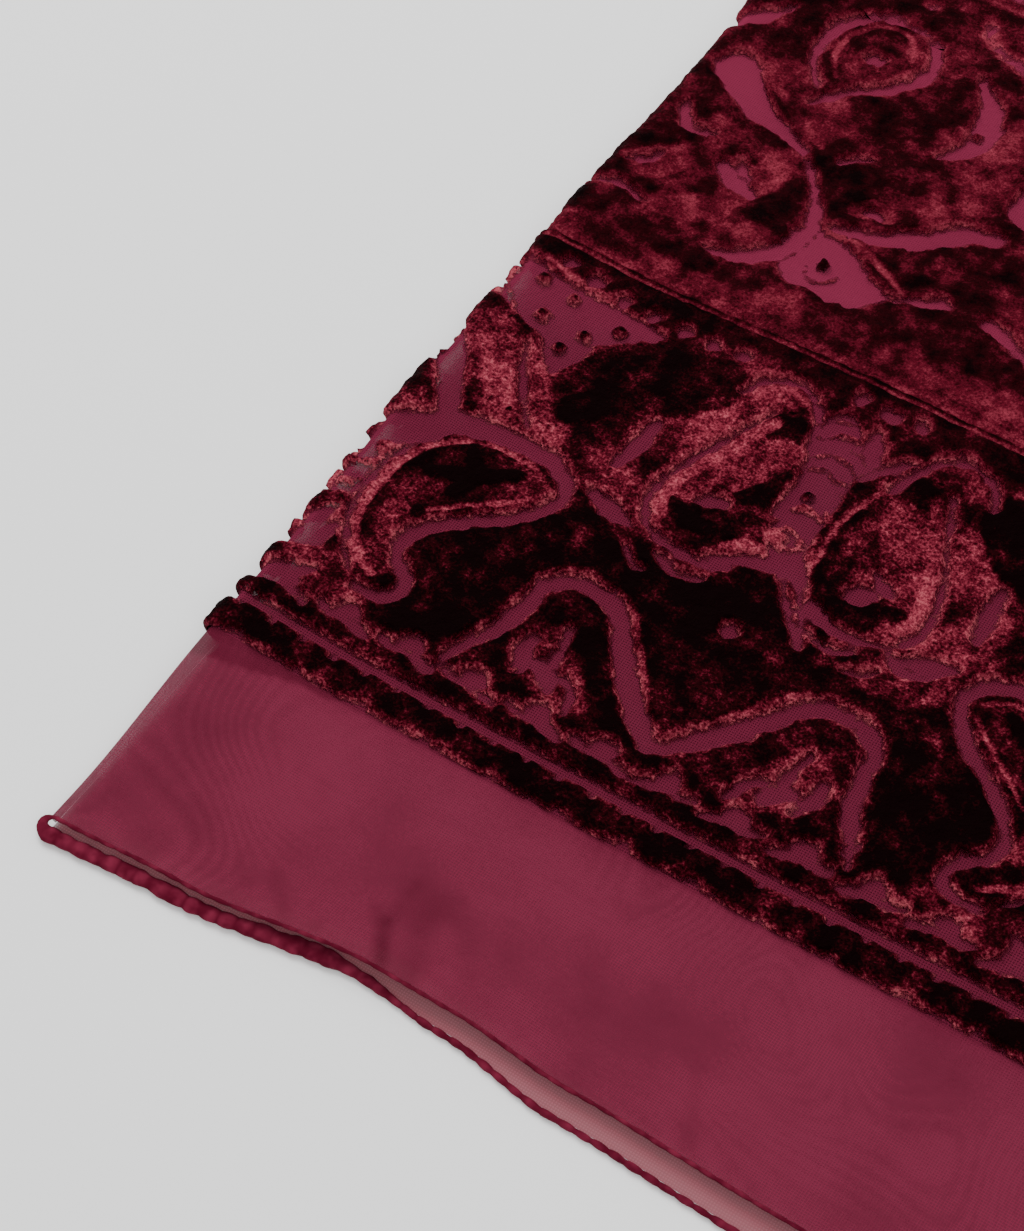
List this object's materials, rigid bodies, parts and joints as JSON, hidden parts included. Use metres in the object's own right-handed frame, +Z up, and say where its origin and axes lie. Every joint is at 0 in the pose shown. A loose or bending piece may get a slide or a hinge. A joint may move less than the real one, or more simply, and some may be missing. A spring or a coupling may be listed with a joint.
{
  "type": "folded burnout velvet scarf",
  "caption": "long velvet scarf folded lengthwise and lying flat, burnt-out paisley pile on sheer crepe, sheer end borders and fine rolled hems",
  "frame": {"origin": "under the middle of the folded scarf, on the surface it lies on", "axes": "+X across the scarf, from the fold at -X to the open long edges at +X; +Y along its length, away from the end in the picture; +Z up"},
  "size_m": [0.2576, 1.6108, 0.006],
  "materials": {
    "velvet": "deep wine cut pile, crushed in patches, burnt out to sheer crepe in paisley figures",
    "sheer": "fine translucent crepe, matt, the pile burnt away",
    "hem": "the same crepe rolled and hand-hemmed, slightly puckered"
  },
  "bodies": {
    "root": {"velvet_field": "velvet", "sheer_end_near": "sheer", "sheer_end_far": "sheer", "hem_end_near": "hem", "hem_end_far": "hem", "hem_side_top": "hem", "hem_side_under": "hem"}
  },
  "joints": []
}
